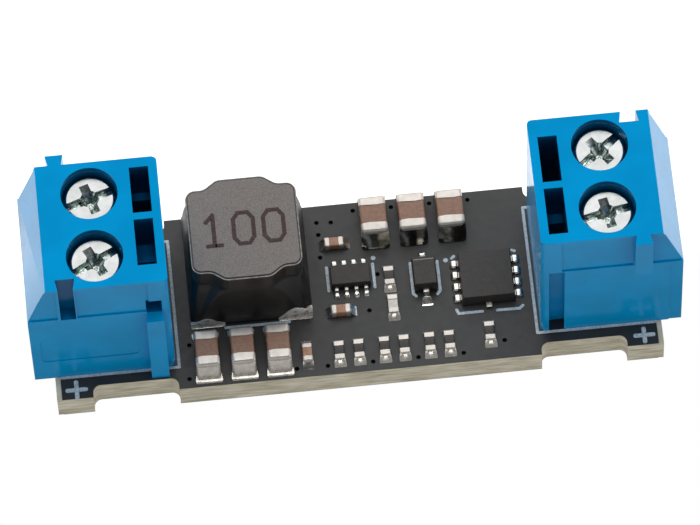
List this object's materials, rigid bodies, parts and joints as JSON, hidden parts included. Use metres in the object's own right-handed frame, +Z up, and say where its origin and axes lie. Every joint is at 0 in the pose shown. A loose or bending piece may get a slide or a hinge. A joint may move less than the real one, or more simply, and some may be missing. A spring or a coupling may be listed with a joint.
{
  "type": "buck converter module",
  "caption": "Small notched circuit board that steps a DC voltage down, with a shielded inductor, chips and a blue screw terminal block at each end.",
  "frame": {"origin": "under the middle of the board, in the plane of the four pin tips", "axes": "+X along the board towards the right terminal block, +Y towards the back edge, +Z up out of the component side"},
  "size_m": [0.0328, 0.0096, 0.0124],
  "materials": {
    "board": "black solder mask over glass-fibre laminate, satin",
    "housing": "moulded blue polyamide, half gloss",
    "screw": "zinc plated steel, bright",
    "clamp": "nickel plated steel",
    "contact": "tin plated brass",
    "ferrite": "ground ferrite, matt grey",
    "winding": "enamelled copper wire",
    "resin": "black magnetic resin, half gloss",
    "capacitor_ceramic": "brown fired ceramic with tinned ends",
    "chip_capacitor_ceramic": "light brown fired ceramic with tinned ends",
    "resistor_glaze": "black glaze on alumina, tinned ends",
    "alumina": "bare white alumina, tinned ends",
    "moulding_compound": "black epoxy moulding compound, matt",
    "tinned_lead": "tin plated metal, satin",
    "solder": "reflowed solder, bright"
  },
  "bodies": {
    "module": {"circuit_board": "board", "left_terminal_housing": "housing", "right_terminal_housing": "housing", "left_back_contact": "contact", "left_front_contact": "contact", "right_back_contact": "contact", "right_front_contact": "contact", "inductor_core": "ferrite", "inductor_winding": "winding", "inductor_resin": "resin", "inductor_left_terminal": "tinned_lead", "inductor_right_terminal": "tinned_lead", "front_capacitor_1": "capacitor_ceramic", "front_capacitor_2": "capacitor_ceramic", "front_capacitor_3": "capacitor_ceramic", "back_capacitor_1": "capacitor_ceramic", "back_capacitor_2": "capacitor_ceramic", "back_capacitor_3": "capacitor_ceramic", "chip_capacitor_1": "chip_capacitor_ceramic", "chip_capacitor_2": "chip_capacitor_ceramic", "chip_capacitor_3": "chip_capacitor_ceramic", "chip_resistor_1": "resistor_glaze", "chip_resistor_2": "resistor_glaze", "chip_resistor_3": "resistor_glaze", "chip_resistor_4": "resistor_glaze", "chip_resistor_5": "resistor_glaze", "chip_resistor_6": "resistor_glaze", "chip_resistor_7": "resistor_glaze", "chip_resistor_8": "resistor_glaze", "chip_resistor_9": "alumina", "diode_body": "moulding_compound", "diode_back_lead": "tinned_lead", "diode_front_lead": "tinned_lead", "controller_body": "moulding_compound", "controller_back_leads": "tinned_lead", "controller_front_leads": "tinned_lead", "power_switch_body": "moulding_compound", "power_switch_left_leads": "tinned_lead", "power_switch_right_leads": "tinned_lead", "power_switch_pad": "tinned_lead", "top_solder": "solder", "pin_solder": "solder"},
    "left_back_screw": {"left_back_screw": "screw"},
    "left_back_clamp": {"left_back_clamp": "clamp"},
    "left_front_screw": {"left_front_screw": "screw"},
    "left_front_clamp": {"left_front_clamp": "clamp"},
    "right_back_screw": {"right_back_screw": "screw"},
    "right_back_clamp": {"right_back_clamp": "clamp"},
    "right_front_screw": {"right_front_screw": "screw"},
    "right_front_clamp": {"right_front_clamp": "clamp"}
  },
  "joints": [
    {"name": "left_back_screw_turn", "type": "hinge", "parent": "module", "child": "left_back_screw", "pos_m": [-0.01276, 0.00175, 0.0114], "axis": [0, 0, -1], "range_deg": [0, 1440]},
    {"name": "left_back_clamp_rise", "type": "slide", "parent": "module", "child": "left_back_clamp", "axis": [0, 0, 1], "range_m": [0, 0.0016]},
    {"name": "left_front_screw_turn", "type": "hinge", "parent": "module", "child": "left_front_screw", "pos_m": [-0.01276, -0.00175, 0.0114], "axis": [0, 0, -1], "range_deg": [0, 1440]},
    {"name": "left_front_clamp_rise", "type": "slide", "parent": "module", "child": "left_front_clamp", "axis": [0, 0, 1], "range_m": [0, 0.0016]},
    {"name": "right_back_screw_turn", "type": "hinge", "parent": "module", "child": "right_back_screw", "pos_m": [0.01276, 0.00175, 0.0114], "axis": [0, 0, -1], "range_deg": [0, 1440]},
    {"name": "right_back_clamp_rise", "type": "slide", "parent": "module", "child": "right_back_clamp", "axis": [0, 0, 1], "range_m": [0, 0.0016]},
    {"name": "right_front_screw_turn", "type": "hinge", "parent": "module", "child": "right_front_screw", "pos_m": [0.01276, -0.00175, 0.0114], "axis": [0, 0, -1], "range_deg": [0, 1440]},
    {"name": "right_front_clamp_rise", "type": "slide", "parent": "module", "child": "right_front_clamp", "axis": [0, 0, 1], "range_m": [0, 0.0016]}
  ],
  "couplings": [
    {"joint": "left_back_screw_turn", "follows": "left_back_clamp_rise", "rad_per_m": 15708},
    {"joint": "left_front_screw_turn", "follows": "left_front_clamp_rise", "rad_per_m": 15708},
    {"joint": "right_back_screw_turn", "follows": "right_back_clamp_rise", "rad_per_m": 15708},
    {"joint": "right_front_screw_turn", "follows": "right_front_clamp_rise", "rad_per_m": 15708}
  ]
}
